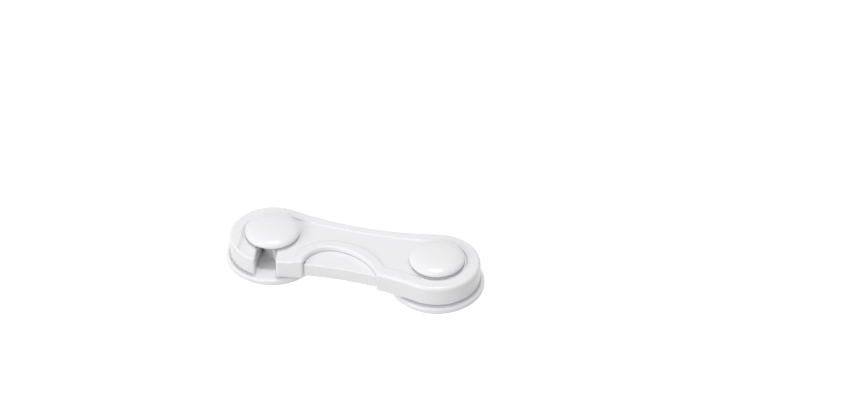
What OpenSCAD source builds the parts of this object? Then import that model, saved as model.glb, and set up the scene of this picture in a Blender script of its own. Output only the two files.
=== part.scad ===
// Cabinet safety lock: a swinging arm on a pivot stud hooks round a catch stud.
// The origin is the middle of the pivot stud's adhesive face, +Z points away from the furniture,
// and the catch stud lies along -X. A press on the half-moon pad frees the hook.

/* [Studs] */
// Distance from the pivot stud to the catch stud
stud_spacing = 61; // [54:0.5:80]
// Diameter of each stud's base plate
base_d = 34; // [30:0.5:44]
// Thickness of the base plate
base_t = 2; // [1.4:0.1:3]
// Radius on the base plate's upper edge
base_edge_r = 0.6; // [0.2:0.1:1]
// Thickness of the adhesive foam
foam_t = 0.8; // [0.5:0.1:2]
// How far the foam stays inside the edge of the base plate
foam_inset = 0.7; // [0.3:0.1:2]
// Diameter of the stem
stem_d = 7; // [6:0.1:8]
// Diameter of the cap
cap_d = 19.6; // [17:0.1:24]
// Height of the cap's dome above its widest line
dome_h = 2; // [1.5:0.1:5]
// Height of the cap below its widest line
cap_skirt_h = 0.8; // [0.5:0.1:2]
// How far the cap's lower edge is rounded inward
cap_edge_w = 0.4; // [0.3:0.1:1.5]

/* [Arm] */
// Radius of the arm's two round ends
end_r = 15.5; // [14:0.1:18]
// How far the arm's sides curve in at the waist
waist_depth = 3.5; // [2:0.1:4]
// Height of the arm from its underside to its rim
arm_h = 7.5; // [6.6:0.1:9]
// Depth of the sunk face inside the rim
recess_depth = 0.9; // [0.5:0.05:1.1]
// Width of the rim round the two ends
rim_end_w = 4.3; // [3.5:0.1:5]
// Width of the rim along the far side
rim_far_w = 3.6; // [3:0.1:6]
// Width of the rim along the near side
rim_near_w = 4.4; // [3:0.1:5]
// Thickness of the arm's side walls
wall = 1.6; // [1.2:0.1:2]
// Thickness of the skin under the sunk face
skin_t = 0.85; // [0.8:0.05:1.2]
// Thickness of the cover under the arm
cover_t = 1.2; // [1.1:0.1:1.6]
// Radius of the solid hub round the pivot
hub_r = 9.5; // [8:0.1:10]
// Radius of the raised boss under the pivot cap
hub_boss_r = 6.5; // [5:0.1:8]

/* [Half-moon window] */
// Distance from the catch stud to the window's crown
window_from_catch = 24.6; // [23:0.1:27]
// Distance from the arm's middle line to the window's crown
window_crown_in = 2; // [1:0.1:3]
// Radius of the window's tight end, towards the hook
window_tight_r = 9.5; // [8.5:0.1:10.5]
// Radius of the window's long end, towards the pivot
window_long_r = 20; // [18:0.5:21]
// Width of the raised arch round the window
arch_w = 3.8; // [3:0.1:4.4]

/* [Release lever] */
// Distance from the catch stud to the lever's pin, along the arm
pin_from_catch = 10.5; // [10:0.1:11.5]
// Room beside the lever's hub, measured to the wall at the round end
hub_room = 2.45; // [1.8:0.05:2.6]
// Diameter of the lever's pin
pin_d = 2; // [1.5:0.1:2.4]
// How far the tooth reaches into the slot
tooth_reach = 2.6; // [1.5:0.1:2.8]
// How far the tooth's upper face lies below the pad's
tooth_drop = 1.4; // [0.4:0.1:1.8]
// Distance from the catch stud's middle to the tooth's catching face
tooth_back = 5.4; // [5.2:0.1:6]
// Room between the foot of the tooth's ramp and the jaw's front wall
tooth_room = 2.1; // [1.4:0.1:3]
// How far the pad's face is set back from the arm's side
pad_setback = 1; // [0.6:0.1:2]
// How far the pad reaches under the arch
pad_lap = 1.2; // [0.6:0.1:1.6]
// Width of the lever's bars
bar_w = 3.4; // [3:0.1:3.6]
// Wire diameter of the return spring
wire_d = 0.4; // [0.3:0.05:0.45]

/* [Fasteners and fits] */
// Thickness of the thrust washer under the arm
washer_t = 0.6; // [0.6:0.1:2]
// Outer diameter of the thrust washer
washer_d = 14; // [11:0.5:20]
// Diameter of the stud screw's shank
stud_screw_d = 2.5; // [2:0.1:3]
// Diameter of the stud screw's head
stud_head_d = 5.4; // [4.5:0.1:6]
// Height of the stud screw's head
stud_head_h = 1.3; // [1:0.1:1.4]
// Diameter of the cover screws' shank
cover_screw_d = 1.7; // [1.4:0.1:2]
// Diameter of the cover screws' heads
cover_head_d = 3.2; // [2.8:0.1:3.6]
// Height of the cover screws' heads
cover_head_h = 0.6; // [0.5:0.05:0.7]
// Diameter of the bosses that take the cover screws
boss_d = 4.2; // [3.6:0.1:4.6]
// Gap between the rim and the underside of the caps
cap_gap = 0.4; // [0.4:0.1:1.5]
// Gap between the stem and the sides of the slot
slot_gap = 0.2; // [0.15:0.05:0.4]
// Radial play of the arm on its stem
pivot_play = 0.08; // [0.03:0.01:0.1]
// Play of the arm along its stem, at each end
end_play = 0.12; // [0.05:0.01:0.2]
// Gap round the pad and the lever
lever_gap = 0.35; // [0.25:0.05:0.5]

/* [Hidden] */

$fn = 64;
// One overrun serves every cut
over = 1;
// Play of a pressed or screwed fit
press_play = 0.02;
// Play of the lever on its pin, and of the cover in its pocket
run_play = 0.05;
cover_play = 0.1;
// Room between the lever and the skin above it
lift_play = 0.2;
// Drive slots in the screw heads
drive_w_share = 0.18;
drive_l_share = 0.62;
drive_depth_share = 0.55;
// Points on one arc of an outline, and rings on a rounded edge
arc_steps = 16;
edge_steps = 4;
dome_steps = 14;
// Squareness of the dome: a smaller share gives a fuller shoulder
dome_share = 0.4;
// Room for the pad's swing past the window, as a share of the window's tight radius
pad_swing_share = 0.92;
// Places of the cover screws, as shares of the stud spacing from the pivot
cover_screw_shares = [0.69, 0.36, 0.2];
// Gap from a screw boss to the far wall
boss_wall_gap = 0.9;
// Sides, rings and turns of the return spring
wire_sides = 6;
coil_steps = 16;
coil_turns = 2;
coil_gap = 0.42;
// How far the pin and the screws go into the skin
pin_bite = 0.4;
screw_skin = 0.3;

// Heights
base_top = foam_t + base_t;
arm_bottom = base_top + washer_t + end_play;
rim_top = arm_bottom + arm_h;
floor_z = rim_top - recess_depth;
ceiling_z = floor_z - skin_t;
cover_top = arm_bottom + cover_t;
cap_bottom = rim_top + cap_gap;
cap_mid = cap_bottom + cap_skirt_h;
cap_top = cap_mid + dome_h;
pad_bottom = arm_bottom + lever_gap;
lever_bottom = cover_top + lift_play;
lever_top = ceiling_z - lift_play;
tooth_top = lever_top - tooth_drop;
hub_top = cap_bottom - end_play;

// Plan sizes
base_r = base_d / 2;
cap_r = cap_d / 2;
stem_r = stem_d / 2;
slot_r = stem_r + slot_gap;
slot_in_r = stud_spacing - slot_r;
slot_out_r = stud_spacing + slot_r;
slot_wall = wall - slot_gap;
waist = end_r - waist_depth;
recess_end_r = end_r - rim_end_w;
recess_far_waist = waist - rim_far_w;
recess_near_waist = waist - rim_near_w;
catch_at = [-stud_spacing, 0];
crown_x = window_from_catch - stud_spacing;
tight_at = [crown_x, -window_crown_in - window_tight_r];
long_at = [crown_x, -window_crown_in - window_long_r];
boss_r = boss_d / 2;
boss_y = waist - wall - boss_r - boss_wall_gap;

// Return spring, wound round the lever's collar, and the pin that both turn on
wire_r = wire_d / 2;
collar_r = pin_d / 2 + run_play + wall / 2;
coil_r = collar_r + wire_d + wire_r;
coil_pitch = wire_d + coil_gap;
flange_top = lever_top - (coil_turns + 1) * coil_pitch;
coil_low = flange_top + wire_r + press_play;
spring_room_r = coil_r + wire_d + wire_r;
flange_r = spring_room_r + wire_d;
pin_at = [pin_from_catch - stud_spacing, end_r - wall - flange_r - hub_room];

// The far end of the pad: an arc about the pin, so that it slides past the wall's end as it turns
wall_end = [crown_x + sqrt(pow(window_long_r, 2) - pow(waist + long_at[1], 2)), -waist];
pad_end_r = norm(wall_end - pin_at);

// Corner of the jaw, where the round end meets the slot's inner side
jaw_x = (pow(slot_in_r, 2) + pow(stud_spacing, 2) - pow(end_r, 2)) / (2 * stud_spacing);
jaw_y = sqrt(pow(slot_in_r, 2) - pow(jaw_x, 2));

// Tooth: its catching tip, the end of its ramp and the end of the slot wall above it
tooth_tip = [-sqrt(pow(slot_in_r + tooth_reach, 2) - pow(tooth_back, 2)), -tooth_back];
ramp_y = tooth_room + wall - jaw_y;
ramp_end = [-sqrt(pow(slot_in_r - lever_gap, 2) - pow(ramp_y, 2)), ramp_y];
slot_wall_end_y = -tooth_back + 2 * lever_gap;
tooth_root = [ramp_end[0] + bar_w / 2, ramp_y + bar_w / 2];

// Foot of the pad's bar, and the room that the spring's leg needs between the lever's two bars
pad_root = [crown_x - window_tight_r / 2, -window_crown_in - bar_w];
bars_angle = acos(unit(pad_root - pin_at) * unit(tooth_root - pin_at));
leg_off = bar_w / 2 + wire_r + press_play;
leg_room_r = leg_off / sin(bars_angle / 2) + run_play;

// Points of an arc, without its last point
function arc(at, r, a0, a1, steps) =
    [for (i = [0 : steps - 1]) let (a = a0 + (a1 - a0) * i / steps) at + r * [cos(a), sin(a)]];

// Radius of the side that curves in to the waist and runs smoothly into both round ends
function side_r(r, w) = (pow(stud_spacing / 2, 2) + pow(w, 2) - pow(r, 2)) / (2 * (r - w));

// Angle, about the pivot, where the side meets the round end
function side_angle(r, w) = atan2(side_r(r, w) + w, -stud_spacing / 2);

// Plan with round ends and two waisted sides
function waisted(r, w) =
    let (t = side_angle(r, w), s = side_r(r, w), mid = -stud_spacing / 2)
    concat(
        arc([0, 0], r, -t, t, arc_steps),
        arc([mid, s + w], s, 180 + t, 360 - t, arc_steps),
        arc(catch_at, r, 180 - t, 180 + t, arc_steps),
        arc([mid, -s - w], s, t, 180 - t, arc_steps));

// Solid through rings of equal point counts, from the lowest ring to the highest
module loft(rings) {
    count = len(rings[0]);
    last = len(rings) - 1;
    sides = [for (k = [0 : last - 1], i = [0 : count - 1])
        let (j = (i + 1) % count)
        [k * count + i, (k + 1) * count + i, (k + 1) * count + j, k * count + j]];
    lower = [for (i = [0 : count - 1]) i];
    upper = [for (i = [0 : count - 1]) last * count + count - 1 - i];
    polyhedron([for (ring = rings) each ring], concat([lower, upper], sides), convexity = 6);
}

// Cross slots in a screw head whose face is at z, cut upward
module drive(head_d, head_h, z) {
    w = head_d * drive_w_share;
    l = head_d * drive_l_share;
    translate([0, 0, z - over])
        linear_extrude(over + head_h * drive_depth_share) {
            square([w, l], center = true);
            square([l, w], center = true);
        }
}

module foam_pad() {
    color("gainsboro")
        cylinder(r = base_r - foam_inset, h = foam_t);
}

// Base plate and stem, bored for the screw that holds the cap
module stud_base() {
    edge = [for (i = [0 : edge_steps]) let (a = 90 * i / edge_steps)
        [base_r - base_edge_r + base_edge_r * cos(a), base_top - base_edge_r + base_edge_r * sin(a)]];
    color("whitesmoke")
        difference() {
            union() {
                rotate_extrude()
                    polygon(concat([[0, foam_t], [base_r, foam_t]], edge, [[0, base_top]]));
                cylinder(r = stem_r, h = cap_bottom);
            }
            translate([0, 0, -over])
                cylinder(d = stud_screw_d + 2 * run_play, h = cap_bottom + 2 * over);
            translate([0, 0, -over])
                cylinder(d = stud_head_d + 2 * cover_play, h = over + foam_t + stud_head_h + cover_play);
            translate([0, 0, -over])
                cylinder(r = base_r, h = foam_t + over);
        }
}

// Domed cap with a blind hole for the screw
module stud_cap() {
    skirt = [for (i = [0 : edge_steps]) let (a = 90 - 90 * i / edge_steps)
        [cap_r - cap_edge_w + cap_edge_w * cos(a), cap_mid - cap_skirt_h * sin(a)]];
    dome = [for (i = [1 : dome_steps]) let (a = 90 * i / dome_steps)
        [cap_r * pow(cos(a), dome_share), cap_mid + dome_h * sin(a)]];
    color("white")
        difference() {
            rotate_extrude()
                polygon(concat([[0, cap_bottom]], skirt, dome));
            translate([0, 0, cap_bottom - over])
                cylinder(d = stud_screw_d + 2 * press_play, h = over + cap_skirt_h + dome_h / 2);
        }
}

module stud_screw() {
    head_low = foam_t + cover_play;
    color("silver")
        difference() {
            union() {
                translate([0, 0, head_low])
                    cylinder(d = stud_head_d, h = stud_head_h);
                translate([0, 0, head_low])
                    cylinder(d = stud_screw_d, h = cap_mid + dome_h / 4 - head_low);
            }
            drive(stud_head_d, stud_head_h, head_low);
        }
}

module at_catch() {
    translate([catch_at[0], catch_at[1], 0])
        children();
}

module pivot_foam_pad() { foam_pad(); }
module pivot_base() { stud_base(); }
module pivot_cap() { stud_cap(); }
module pivot_screw() { stud_screw(); }
module catch_foam_pad() { at_catch() foam_pad(); }
module catch_base() { at_catch() stud_base(); }
module catch_cap() { at_catch() stud_cap(); }
module catch_screw() { at_catch() stud_screw(); }

module thrust_washer() {
    color("white")
        translate([0, 0, base_top])
            difference() {
                cylinder(d = washer_d, h = washer_t);
                translate([0, 0, -over])
                    cylinder(r = stem_r + run_play, h = washer_t + 2 * over);
            }
}

// Half-moon of two arcs at the crown, each grown by its own margin, open past the arm's near side
module half_moon(tight_grow, long_grow) {
    tight_r = window_tight_r + tight_grow;
    long_r = window_long_r + long_grow;
    low = -end_r - over;
    end_angle = asin((low - long_at[1]) / long_r);
    polygon(concat(
        [[crown_x - tight_r, low]],
        arc(tight_at, tight_r, 180, 90, arc_steps),
        [[crown_x, tight_at[1] + tight_r]],
        arc(long_at, long_r, 90, end_angle, arc_steps),
        [long_at + long_r * [cos(end_angle), sin(end_angle)]]));
}

// Slot for the catch stud's stem: a round seat and a channel along the path that the stem takes
module slot_plan() {
    mouth_angle = 180 + asin((end_r + over) / stud_spacing);
    polygon(concat(
        arc(catch_at, slot_r, 0, 180, arc_steps),
        arc([0, 0], slot_out_r, 180, mouth_angle, arc_steps),
        arc([0, 0], slot_in_r, mouth_angle, 180, arc_steps)));
}

// Half of the plane, far side (+1) or near side (-1) of the arm's middle line
module side_half(side) {
    translate([-stud_spacing / 2, side * end_r])
        square([2 * stud_spacing, 2 * end_r], center = true);
}

// Sunk face: inside the rim, out to the jaw's tip, and round the raised arch
module recess_plan() {
    jaw_left = catch_at[0] - recess_end_r;
    difference() {
        union() {
            intersection() {
                polygon(waisted(recess_end_r, recess_far_waist));
                side_half(1);
            }
            intersection() {
                polygon(waisted(recess_end_r, recess_near_waist));
                side_half(-1);
            }
            translate([jaw_left, -end_r - over])
                square([crown_x - jaw_left, end_r + over]);
        }
        half_moon(arch_w, arch_w);
    }
}

// Hollow for the lever, drawn in by a play: it reaches the slot beside the tooth
module hollow_plan(play, reach) {
    difference() {
        intersection() {
            polygon(waisted(end_r - wall - play, waist - wall - play));
            union() {
                circle(r = slot_in_r - slot_wall - play);
                intersection() {
                    circle(r = slot_in_r + reach);
                    translate([-stud_spacing, slot_wall_end_y - play - stud_spacing])
                        square([stud_spacing, stud_spacing]);
                }
            }
        }
        circle(r = hub_r + play);
    }
}

// End of the near wall, cut on the arc that the pad's end follows
module wall_end_plan() {
    intersection() {
        translate(pin_at)
            circle(r = pad_end_r);
        translate([crown_x, -end_r - over])
            square([stud_spacing, end_r + over - waist / 2]);
    }
}

module each_cover_screw() {
    for (s = cover_screw_shares)
        translate([-stud_spacing * s, boss_y, 0])
            children();
}

// Upper shell of the arm: rim, sunk face, hook, window, hub and screw bosses
module arm_shell() {
    color("whitesmoke")
        difference() {
            union() {
                difference() {
                    translate([0, 0, arm_bottom])
                        linear_extrude(arm_h)
                            polygon(waisted(end_r, waist));
                    translate([0, 0, floor_z])
                        linear_extrude(recess_depth + over)
                            recess_plan();
                    translate([0, 0, arm_bottom - over])
                        linear_extrude(ceiling_z - arm_bottom + over) {
                            hollow_plan(0, over);
                            wall_end_plan();
                        }
                    translate([0, 0, arm_bottom - over])
                        linear_extrude(arm_h + 2 * over) {
                            half_moon(0, 0);
                            slot_plan();
                        }
                }
                cylinder_between(hub_boss_r, floor_z - skin_t, hub_top);
                each_cover_screw()
                    cylinder_between(boss_r, cover_top, ceiling_z + skin_t / 2);
            }
            cylinder_between(stem_r + pivot_play, -over, cap_top);
            translate(pin_at)
                cylinder_between(pin_d / 2 + press_play, cover_top, ceiling_z + pin_bite);
            each_cover_screw()
                cylinder_between(cover_screw_d / 2 + press_play, arm_bottom, floor_z - screw_skin);
        }
}

// Upright cylinder from one height to another
module cylinder_between(r, low, high) {
    translate([0, 0, low])
        cylinder(r = r, h = high - low);
}

// Cover in the arm's underside, cut away where the pad swings
module arm_cover() {
    pad_swing = window_tight_r * pad_swing_share;
    color("whitesmoke")
        difference() {
            translate([0, 0, arm_bottom])
                linear_extrude(cover_t)
                    difference() {
                        hollow_plan(cover_play, -cover_play);
                        half_moon(2 * pad_lap, pad_swing);
                    }
            translate(pin_at)
                cylinder_between(pin_d / 2 + press_play, cover_top - cover_t / 2, cover_top + over);
            each_cover_screw() {
                cylinder_between(cover_screw_d / 2 + run_play, 0, cover_top + over);
                cylinder_between(cover_head_d / 2 + cover_play, 0, arm_bottom + cover_head_h);
            }
        }
}

module cover_screws() {
    color("silver")
        each_cover_screw()
            difference() {
                union() {
                    cylinder_between(cover_head_d / 2, arm_bottom, arm_bottom + cover_head_h);
                    cylinder_between(cover_screw_d / 2, arm_bottom, ceiling_z);
                }
                drive(cover_head_d, cover_head_h, arm_bottom);
            }
}

// Round-ended bar from one place to another
module bar(from, to) {
    way = to - from;
    translate(from) {
        circle(d = bar_w);
        rotate(atan2(way[1], way[0]))
            translate([0, -bar_w / 2])
                square([norm(way), bar_w]);
    }
    translate(to)
        circle(d = bar_w);
}

// Pad that shows in the window, with its face set back from the arm's side
module pad_plan() {
    intersection() {
        polygon(waisted(end_r - pad_setback, waist - pad_setback));
        half_moon(-lever_gap, pad_lap);
        translate(pin_at)
            circle(r = pad_end_r - lever_gap);
    }
}

// A bar's part outside the room of the return spring
module past_spring() {
    difference() {
        children();
        translate(pin_at)
            circle(r = leg_room_r);
    }
}

// One moulding: pad, tooth, and the two bars that join them at the pin
module release_lever() {
    color("white")
        difference() {
            union() {
                translate([0, 0, pad_bottom])
                    linear_extrude(lever_top - pad_bottom)
                        pad_plan();
                translate([0, 0, lever_bottom])
                    linear_extrude(flange_top - lever_bottom) {
                        bar(pin_at, pad_root);
                        bar(pin_at, tooth_root);
                    }
                translate([0, 0, lever_bottom])
                    linear_extrude(lever_top - lever_bottom)
                        past_spring()
                            bar(pin_at, pad_root);
                translate([0, 0, lever_bottom])
                    linear_extrude(tooth_top - lever_bottom) {
                        past_spring()
                            bar(pin_at, tooth_root);
                        polygon([tooth_tip, ramp_end, ramp_end + [bar_w, 0],
                            [tooth_root[0] + bar_w / 2, tooth_root[1]], [slot_wall - slot_in_r, -tooth_back]]);
                    }
                translate([pin_at[0], pin_at[1], lever_bottom]) {
                    cylinder(r = flange_r, h = flange_top - lever_bottom);
                    cylinder(r = collar_r, h = lever_top - lever_bottom);
                }
            }
            translate(pin_at)
                cylinder_between(pin_d / 2 + run_play, 0, cap_top);
        }
}

module lever_pin() {
    color("silver")
        translate(pin_at)
            cylinder_between(pin_d / 2, cover_top - cover_t / 2, ceiling_z + pin_bite);
}

// Middle line of the return spring: a leg against a screw boss, the coil, and a leg along the tooth's bar
function spring_line() =
    let (to_boss = [-stud_spacing * cover_screw_shares[0], boss_y] - pin_at)
    let (boss_room = boss_r + wire_r + run_play)
    let (bar_way = unit(tooth_root - pin_at), bar_side = [-bar_way[1], bar_way[0]])
    let (rest = pin_at + bar_way * (spring_room_r + bar_w) + bar_side * leg_off)
    let (a0 = atan2(to_boss[1], to_boss[0]) - asin(boss_room / norm(to_boss)))
    let (boss_leg = sqrt(pow(norm(to_boss), 2) - pow(boss_room, 2)))
    let (held = pin_at + boss_leg * [cos(a0), sin(a0)])
    let (a1 = atan2(bar_way[1], bar_way[0]) + asin(leg_off / coil_r) - 360 * coil_turns)
    let (step = 360 / coil_steps, fall = coil_pitch / 360, high = coil_low + fall * (a0 - a1))
    let (angles = concat([for (a = [a0 : -step : a1 + step / 2]) a], [a1]))
    concat(
        [[held[0], held[1], high]],
        [for (a = angles)
            [pin_at[0] + coil_r * cos(a), pin_at[1] + coil_r * sin(a), high - fall * (a0 - a)]],
        [[rest[0], rest[1], coil_low]]);

function unit(v) = v / norm(v);

// Ring of wire round one point of a line, square to the line there
function wire_ring(line, i) =
    let (before = line[max(i - 1, 0)], after = line[min(i + 1, len(line) - 1)])
    let (way = unit(after - before))
    let (across = unit(cross(way, [0, 0, 1])), up = cross(across, way))
    [for (k = [0 : wire_sides - 1]) let (a = -360 * k / wire_sides)
        line[i] + wire_r * (across * cos(a) + up * sin(a))];

module lever_spring() {
    line = spring_line();
    gaps = [for (i = [1 : len(line) - 2 - coil_steps]) norm(line[i + coil_steps] - line[i]) - wire_d];
    echo(least_spring_gap = min(gaps));
    color("silver")
        loft([for (i = [0 : len(line) - 1]) wire_ring(line, i)]);
}

pivot_foam_pad();
pivot_base();
pivot_cap();
pivot_screw();
thrust_washer();
catch_foam_pad();
catch_base();
catch_cap();
catch_screw();
arm_shell();
arm_cover();
cover_screws();
release_lever();
lever_pin();
lever_spring();
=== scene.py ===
import math
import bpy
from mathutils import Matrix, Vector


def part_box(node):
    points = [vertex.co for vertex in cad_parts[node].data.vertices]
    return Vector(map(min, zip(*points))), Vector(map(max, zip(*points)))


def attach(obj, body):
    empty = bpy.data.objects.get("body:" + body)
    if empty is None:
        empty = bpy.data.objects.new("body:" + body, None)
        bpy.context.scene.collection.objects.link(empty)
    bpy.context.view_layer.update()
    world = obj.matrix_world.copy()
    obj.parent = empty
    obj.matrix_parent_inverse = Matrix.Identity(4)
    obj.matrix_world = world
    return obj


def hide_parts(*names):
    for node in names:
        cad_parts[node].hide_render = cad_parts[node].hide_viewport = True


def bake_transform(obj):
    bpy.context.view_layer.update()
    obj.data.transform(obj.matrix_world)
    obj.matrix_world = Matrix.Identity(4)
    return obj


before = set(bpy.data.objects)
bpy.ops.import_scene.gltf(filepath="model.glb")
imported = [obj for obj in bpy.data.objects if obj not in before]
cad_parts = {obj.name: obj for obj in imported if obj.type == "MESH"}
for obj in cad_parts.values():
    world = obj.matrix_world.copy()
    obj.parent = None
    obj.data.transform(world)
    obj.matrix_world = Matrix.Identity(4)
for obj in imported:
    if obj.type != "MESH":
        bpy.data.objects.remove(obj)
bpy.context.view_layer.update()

from types import SimpleNamespace

import bpy
import numpy as np
from mathutils import Vector
from mathutils.geometry import delaunay_2d_cdt

bl_info = {
    "name": "Cabinet safety lock",
    "version": (1, 0, 0),
    "blender": (4, 5, 0),
    "location": "3D View > Sidebar > Lock",
    "description": "Builds a swing-arm cabinet lock and its studio round the packed solids",
    "category": "Object",
}

MM = 0.001
BOX = {name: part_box(name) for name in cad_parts}

# Plays in millimetres: of pressed pieces, of turning pieces, and of what lies in a sink or a pocket
PRESS_PLAY = 0.02
RUN_PLAY = 0.05
SINK_PLAY = 0.1
# How far cutting outlines run past what they cut, in millimetres
PAST_EDGE = 1.0
# Places of the cover screws as shares of the stud spacing, and their bosses' room beside the wall
SCREW_SHARES = (0.69, 0.36, 0.2)
BOSS_ROOM = 0.9
# Plastic left over a cover screw, and how far the lever's pin goes into the shell
SCREW_SKIN = 0.3
PIN_BITE = 0.4
# Room that the swinging pad needs under the arch, as a share of the window's tight radius
PAD_SWING = 0.92
# Whole turns of the return spring
COIL_TURNS = 2
# Shares of its depth that the sunk face loses where it runs out to the near rim and to the far rim
NEAR_RUN_OUT = 0.75
FAR_RUN_OUT = 0.4
# Places and sizes of the lights in metres, and the place that they light
LIT_PLACE = (-0.03, 0.0, 0.005)
KEY_PLACE = (-0.065, 0.13, 1.1)
KEY_SIZE = (0.16, 0.16)
FILL_PLACE = (-0.6, -0.95, 0.45)
FILL_SIZE = (1.0, 0.7)
# How far the floor lies below the adhesive faces, in metres
FLOOR_DROP = 0.00005


# Properties that a user would change

def length(name, description, value):
    """A length property; its default is given in millimetres."""
    return bpy.props.FloatProperty(name=name, description=description, default=value * MM,
                                   unit="LENGTH", precision=5)


def share(name, description, value):
    return bpy.props.FloatProperty(name=name, description=description, default=value,
                                   min=0.0, max=1.0, subtype="FACTOR")


def colour(name, description, value):
    return bpy.props.FloatVectorProperty(name=name, description=description, default=value,
                                         size=3, min=0.0, max=1.0, subtype="COLOR")


class LockStudSizes(bpy.types.PropertyGroup):
    """Sizes of the two studs"""

    spacing: length("Stud spacing", "Distance from the pivot stud to the catch stud",
                    -(BOX["catch_base"][0].x + BOX["catch_base"][1].x) / 2 / MM)
    foam_radius: length("Foam radius", "Radius of the adhesive foam", BOX["pivot_foam_pad"][1].x / MM)
    foam_thickness: length("Foam thickness", "Thickness of the adhesive foam",
                           BOX["pivot_foam_pad"][1].z / MM)
    foam_edge: length("Foam edge", "How far the cut edge of the foam is pinched at its two faces", 0.22)
    base_radius: length("Base radius", "Radius of the base plate", BOX["pivot_base"][1].x / MM)
    base_thickness: length("Base thickness", "Thickness of the base plate", 2.0)
    base_edge: length("Base edge", "Radius on the upper edge of the base plate", 0.95)
    stem_radius: length("Stem radius", "Radius of the stem", 3.5)
    stem_top: length("Stem top", "Height of the stem's end", BOX["pivot_base"][1].z / MM)
    stem_foot: length("Stem foot", "Radius where the catch stem runs into its base", 0.7)
    cap_radius: length("Cap radius", "Radius of the cap at its widest line", BOX["pivot_cap"][1].x / MM)
    cap_bottom: length("Cap bottom", "Height of the cap's underside", BOX["pivot_cap"][0].z / MM)
    cap_top: length("Cap top", "Height of the cap's crown", BOX["pivot_cap"][1].z / MM)
    cap_skirt: length("Cap skirt", "Height of the cap's upright skirt", 0.5)
    cap_power: share("Cap power", "Power on the dome's curve: 1 is an ellipse, less is fuller", 0.83)
    cap_tuck: length("Cap tuck", "Radius on the cap's lower edge", 0.3)
    washer_radius: length("Washer radius", "Outer radius of the thrust washer",
                          BOX["thrust_washer"][1].x / MM)


class LockArmSizes(bpy.types.PropertyGroup):
    """Sizes of the swinging arm and its cover"""

    bottom: length("Underside", "Height of the arm's underside", BOX["arm_shell"][0].z / MM)
    rim_top: length("Rim", "Height of the arm's rim", 11.02)
    hub_top: length("Hub", "Height of the boss under the pivot cap", BOX["arm_shell"][1].z / MM)
    end_radius: length("End radius", "Radius of the arm's two round ends", BOX["arm_shell"][1].y / MM)
    waist_depth: length("Waist depth", "How far the sides curve in at the waist", 3.5)
    recess_depth: length("Recess depth", "Depth of the sunk face inside the rim", 0.65)
    rim_end: length("Rim at the ends", "Width of the rim round the two ends", 4.7)
    rim_far: length("Far rim", "Width of the rim along the far side", 3.6)
    rim_near: length("Near rim", "Width of the rim along the near side", 4.4)
    rim_near_end: length("Near rim at the pivot", "Width of the rim on the near side of the pivot", 5.1)
    step_width: length("Step width", "Width of the step between the rim and the sunk face", 0.5)
    step_soft: length("Soft step width", "Width of that step beside the jaw and along the near rim", 1.8)
    far_round: length("Far side radius", "Radius on the upper edge of the arm's far side", 1.3)
    near_round: length("Near side radius", "Radius on the upper edge of the arm's near side", 1.2)
    edge_round: length("Edge radius", "Radius on the upper edges of the jaw and the window", 0.75)
    under_round: length("Lower edge radius", "Radius on the arm's lower edges", 0.3)
    corner_round: length("Corner radius", "Radius on the upright corners of the jaw and the window", 0.9)
    wall: length("Wall", "Thickness of the arm's side walls", 1.6)
    cover: length("Cover", "Thickness of the cover under the arm", 1.2)
    hub_radius: length("Hub radius", "Radius of the solid hub round the pivot", 9.5)
    boss_radius: length("Boss radius", "Radius of the raised boss under the pivot cap", 6.5)
    slot_gap: length("Slot gap", "Gap between the catch stem and the sides of the slot", 0.2)
    pivot_play: length("Pivot play", "Radial play of the arm on its stem", 0.08)
    window_from_catch: length("Window place", "Distance from the catch stud to the window's crown", 24.6)
    window_crown: length("Window crown", "Distance from the middle line to the window's crown", 2.0)
    window_tight: length("Tight radius", "Radius of the window's end towards the hook", 9.5)
    window_long: length("Long radius", "Radius of the window's end towards the pivot", 20.0)
    arch_width: length("Arch width", "Width of the raised arch round the window", 3.8)


class LockLeverSizes(bpy.types.PropertyGroup):
    """Sizes of the release lever, its pin and its spring"""

    pin_x: length("Pin x", "Place of the lever's pin along the arm",
                  (BOX["lever_pin"][0].x + BOX["lever_pin"][1].x) / 2 / MM)
    pin_y: length("Pin y", "Place of the lever's pin across the arm",
                  (BOX["lever_pin"][0].y + BOX["lever_pin"][1].y) / 2 / MM)
    pin_radius: length("Pin radius", "Radius of the lever's pin", 1.0)
    top: length("Lever top", "Height of the lever's upper face", BOX["release_lever"][1].z / MM)
    pad_bottom: length("Pad bottom", "Height of the pad's lower face", BOX["release_lever"][0].z / MM)
    gap: length("Lever gap", "Gap round the pad and the lever", 0.35)
    side_gap: length("Pad gap", "Gap between the pad and the window's end towards the hook", 0.06)
    lift: length("Lever lift", "Room above and below the lever", 0.2)
    setback: length("Pad setback", "How far the pad's face is set back from the arm's side", 1.0)
    lap: length("Pad lap", "How far the pad reaches under the arch", 1.2)
    bar: length("Bar width", "Width of the lever's bars", 3.4)
    tooth_reach: length("Tooth reach", "How far the tooth reaches into the slot", 2.6)
    tooth_drop: length("Tooth drop", "How far the tooth's upper face lies below the pad's", 0.4)
    tooth_back: length("Tooth place", "Distance from the catch stud to the tooth's catching face", 5.4)
    tooth_room: length("Tooth room", "Room between the tooth's ramp and the jaw's wall", 2.1)
    edge_round: length("Lever edge", "Radius on the pad's edges", 0.45)
    wire_radius: length("Wire radius", "Radius of the return spring's wire", 0.2)
    coil_gap: length("Coil gap", "Gap between the turns of the return spring", 0.42)


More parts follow.
